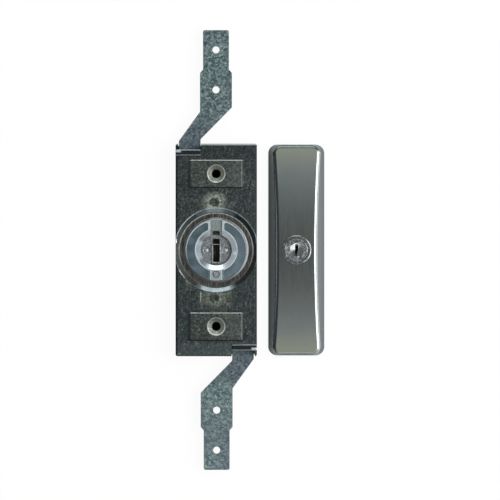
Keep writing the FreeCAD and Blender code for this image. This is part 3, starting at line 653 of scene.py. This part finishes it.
def turned_chrome(slot, shades, roughness):
    """Finish of a turned piece of the key cylinder."""
    material, tree, place = new_material(slot)
    low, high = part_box("cylinder_housing")
    centred = add(tree, "ShaderNodeMapping",
                  {"Vector": place, "Location": (-(low[0] + high[0]) / 2, -(low[1] + high[1]) / 2, 0)})
    x, y, z = axes(tree, centred)
    rings = add(tree, "ShaderNodeTexWave",
                {"Vector": centred, "Scale": 2 * math.pi / WAVE_RADIANS * per(RING_SPACING),
                 "Distortion": 0.6, "Detail": 2.0, "Detail Scale": 2.0},
                wave_type="RINGS", rings_direction="Z")
    smear = add(tree, "ShaderNodeTexNoise", {"Vector": place, "Scale": per(1.8), "Detail": 3.0,
                                             "Roughness": 0.55})
    dark_keyway = mask(tree, below(distance(tree, x, y), KEYWAY_REACH, 0.2),
                  below(z, high[2] / MM - KEYWAY_DARK_DEPTH, 0.4))
    chrome = add(tree, "ShaderNodeValToRGB", {"Fac": smear}, stops=shades)
    polish = mask(tree, (smear, 0.35, 0.7, roughness, roughness + 0.10))
    end_metal(tree, coated(tree, chrome, (dark_keyway, "#3f3b33")),
              either(tree, polish, mask(tree, dark_keyway, strength=0.7)), 1.0, rings, 0.02, 0.5)
    finishes[slot] = material


turned_chrome("polished_chrome", [(0.35, "#a2a5a6"), (0.65, "#cfd2d3")], 0.06)
turned_chrome("satin_chrome", [(0.35, "#7e8180"), (0.65, "#a2a5a4")], 0.20)


# %% [markdown]
# The nut and the threaded inserts on the cover's back are rolled brass, which tarnishes in
# patches a few millimetres wide. One noise sets both colour and roughness, because tarnish is
# darker and duller at once.

# %% Rolled brass
brass, tree, place = new_material("rolled_brass")
tarnish = add(tree, "ShaderNodeTexNoise", {"Vector": place, "Scale": per(2.2), "Detail": 4.0,
                                           "Roughness": 0.6})
yellow = add(tree, "ShaderNodeValToRGB", {"Fac": tarnish},
             stops=[(0.3, "#7a6132"), (0.55, "#b9974f"), (0.75, "#dcc07c")])
end_metal(tree, yellow, mask(tree, (tarnish, 0.3, 0.7, 0.22, 0.45)), 1.0, tarnish, 0.02, 0.4)
finishes["spring_brass"] = brass


# %% [markdown]
# The flared collars in the pads were zinc plated. The plating is rubbed grey on the flare, with
# a dark groove in it and a light rim, and the bore is painted near black as shade. Both
# collars stand equally far from the hub, so the distance on the absolute Y serves both, and the
# sign of Y tells which half of a collar faces the upper end, which is greyer with painted shade.

# %% Flared collar
collar_low, collar_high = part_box("upper_spacer")
COLLAR = (collar_low[1] + collar_high[1]) / 2 / MM
BORE, GROOVE, RIM = 3.2, (4.8, 5.4), 5.9
collar_zinc, tree, place = new_material("worn_zinc_collar")
x, y = axes(tree, place)[:2]
along, = both_sides(tree, y)
own = distance(tree, x, along, (0.0, COLLAR))
outward = weighted(tree, (along, 1.0), (-COLLAR, 1.0))
sign = add(tree, "ShaderNodeMath", {0: y}, operation="SIGN")
upward = add(tree, "ShaderNodeMath", {0: outward, 1: sign}, operation="MULTIPLY")
grain = add(tree, "ShaderNodeTexNoise", {"Vector": place, "Scale": per(1.2), "Detail": 4.0,
                                         "Roughness": 0.6})
plated = add(tree, "ShaderNodeValToRGB", {"Fac": grain},
             stops=[(0.3, "#8f948b"), (0.5, "#b6bbb0"), (0.72, "#d8ddd2")])
plated = coated(tree, plated,
                # painted shade: the bore is laid near black
                (mask(tree, below(own, BORE, 0.2)), "#0d0e0c"),
                (mask(tree, above(own, RIM, 0.4), strength=0.7), "#e6e9df"),
                (mask(tree, *band(own, *GROOVE, 0.4), strength=0.55), "#474b45"),
                # painted shade: the upper half of each collar is greyer
                (mask(tree, (upward, -3, 4), strength=0.85), "#8d928a"))
end_metal(tree, plated, mask(tree, (grain, 0.3, 0.7, 0.30, 0.48)), 0.85, grain, 0.04, 0.5)
finishes["worn_zinc"] = collar_zinc
print("collars", round(COLLAR, 2), "mm from the hub")


# %% [markdown]
# The record names a material slot for every node. A few pieces look different from the rest of
# their slot, so they are sent to a finish of their own before every node gets its material.

# %% Dress the nodes
node_slots = {part["node"]: part["material_slot"] for part in frame["record"]["subparts"]}
own_finishes = {
    "worn_zinc": ["upper_spacer", "lower_spacer"],
    "gritty_steel": ["retainer_disc"],
    "bright_steel": ["grip_rivets"],
    "liner_steel": ["slot_liner", "hub_screw"],
    "grimy_brass": ["wafers", "grip_spring"],
    "satin_chrome": ["cylinder_housing"],
}
for slot, names in own_finishes.items():
    node_slots.update({name: slot for name in names})
for name, piece in nodes.items():
    piece.data.materials.clear()
    piece.data.materials.append(finishes[node_slots[name]])
print("dressed", len(nodes), "nodes in", len(finishes), "finishes")


# %% [markdown]
# The photograph was taken from straight above on a white ground. The floor here is a real white
# plane that takes the lock's soft shadow, and for the camera and for reflections it is lifted
# towards pure white, as an overexposed table is. Under the case there is no lift and the floor is
# painted dark as shade, so the screw holes show dark, and close to the lock the reflections keep
# the true shaded floor.

# %% White floor finish
FLOOR_LIFT = 0.94
NEAR_X, NEAR_Y = (-45, 100), (-95, 95)
floor_finish, tree, place = new_material("white_floor")
x, y = axes(tree, place)[:2]
under = mask(tree, *band(x, case_low[0] + 1, case_high[0] - 1, 1),
             *band(y, case_low[1] + 1, case_high[1] - 1, 1))
near = mask(tree, *band(x, *NEAR_X, 30), *band(y, *NEAR_Y, 30))
path = add(tree, "ShaderNodeLightPath", out=None)
reflected = either(tree, path["Is Glossy Ray"], path["Is Transmission Ray"])
lift = mask(tree, either(tree, mask(tree, path["Is Camera Ray"], (under, 1.0, 0.0)),
                         mask(tree, reflected, (near, 1.0, 0.0))), strength=FLOOR_LIFT)
# painted shade: the floor under the case is laid dark
matt = add(tree, "ShaderNodeBsdfDiffuse", {"Color": coated(tree, "#f5f5f5", (under, "#2b2b29"))})
glow = add(tree, "ShaderNodeEmission", {"Color": "#ffffff", "Strength": 1.0})
surface = add(tree, "ShaderNodeMixShader", {0: lift, 1: matt, 2: glow})
add(tree, "ShaderNodeOutputMaterial", {"Surface": surface}, out=None)
print("floor finish", len(tree.nodes), "nodes")

# %% Floor
FLOOR_HALF = 2.5
shape = bmesh.new()
bmesh.ops.create_grid(shape, x_segments=1, y_segments=1, size=FLOOR_HALF)
mesh = bpy.data.meshes.new("floor")
shape.to_mesh(mesh)
shape.free()
mesh.materials.append(floor_finish)
floor = bpy.data.objects.new("floor", mesh)
bpy.context.scene.collection.objects.link(floor)
print("floor", 2 * FLOOR_HALF, "m wide")


# %% [markdown]
# Metal shows its surroundings, so the light is placed by what each surface should mirror. A
# large panel on the right draws the white line along the cover's right edge. A low lamp beyond
# the upper end lights the dish wall that faces it, and a weak one beyond the lower end does the
# same for the opposite wall. One small lamp overhead shines in the polished key plug. Light
# linking keeps it to the plug alone, because the cover's dark crown would mirror it too.

# %% Lamps
middle = Vector((0.024, 0.0, 0.0))


def panel(name, offset, width, height, power, tint="#ffffff"):
    """Rectangular lamp at an offset from the middle, aimed at the middle."""
    light = bpy.data.lights.new(name, "AREA")
    light.shape = "RECTANGLE"
    light.size = width
    light.size_y = height
    light.energy = power
    light.color = colour(tint)[:3]
    holder = bpy.data.objects.new(name, light)
    bpy.context.scene.collection.objects.link(holder)
    place = middle + Vector(offset)
    turn = (middle - place).to_track_quat("-Z", "Y").to_matrix().to_4x4()
    holder.matrix_world = Matrix.Translation(place) @ turn
    holder.visible_camera = False
    print(name, power, "W")
    return holder


panel("right_panel", (1.151, 0.0, 1.111), 1.7, 1.25, 26)
panel("end_lamp", (-0.03, 1.50, 0.47), 1.15, 0.9, 7.8, "#f0f6fa")
panel("back_lamp", (-0.02, -1.4, 0.80), 0.6, 0.30, 0.45, "#eef6f4")
key_light = panel("key_light", (-0.07, 0.21, 1.3), 0.30, 0.40, 0.64)
plug_only = bpy.data.collections.new("key_face")
plug_only.objects.link(nodes["key_plug"])
key_light.light_linking.receiver_collection = plug_only


# %% [markdown]
# The rest of the light is a studio sky. It is dim overhead, where the flat tops look, so these
# stay dark. A brighter band crosses it towards each end, where the crowned cover leans, so the
# cover turns light at its ends. The bands stop before the left side, and both sides are a little
# brighter than the middle. Generated coordinates of a world are directions, so the masks that
# measure a piece in millimetres measure a direction here.

# %% Sky
SKY_DIM, SKY_SIDES = 0.2, 0.18
sky = bpy.data.worlds.new("dim_studio")
sky.use_nodes = True
tree = sky.node_tree
tree.nodes.clear()
direction = add(tree, "ShaderNodeTexCoord", out="Generated")
towards = add(tree, "ShaderNodeSeparateXYZ", {0: direction}, out=None)
to_side, to_end = both_sides(tree, towards["X"], towards["Y"])
end_bands = mask(tree, (to_end, 0.12, 0.36), (to_end, 0.62, 0.48), (towards["X"], -0.35, -0.1))
sides = mask(tree, (to_side, 0.1, 0.6), strength=SKY_SIDES)
brightness = weighted(tree, (end_bands, 1.0), (sides, 1.0), (SKY_DIM, 1.0))
background = add(tree, "ShaderNodeBackground", {"Color": "#f4f8fa", "Strength": brightness})
add(tree, "ShaderNodeOutputWorld", {"Surface": background}, out=None)
bpy.context.scene.world = sky
print("sky", len(tree.nodes), "nodes")


# %% [markdown]
# A long lens far above keeps the view almost parallel, as in the photograph. The frame is square
# and shows 356 mm of the floor, and its centre lies 24 mm to the right of the hub.

# %% Camera
VIEW_WIDTH = 0.3563
CAMERA_HEIGHT = 2.0
VIEW_CENTRE = 0.0241
lens = bpy.data.cameras.new("camera")
lens.lens = lens.sensor_width * CAMERA_HEIGHT / VIEW_WIDTH
camera = bpy.data.objects.new("camera", lens)
camera.location = (VIEW_CENTRE, 0.0, CAMERA_HEIGHT + FACE * MM)
bpy.context.scene.collection.objects.link(camera)
bpy.context.scene.camera = camera
bpy.context.scene.view_settings.view_transform = "Standard"
print("lens", round(lens.lens, 1), "mm")
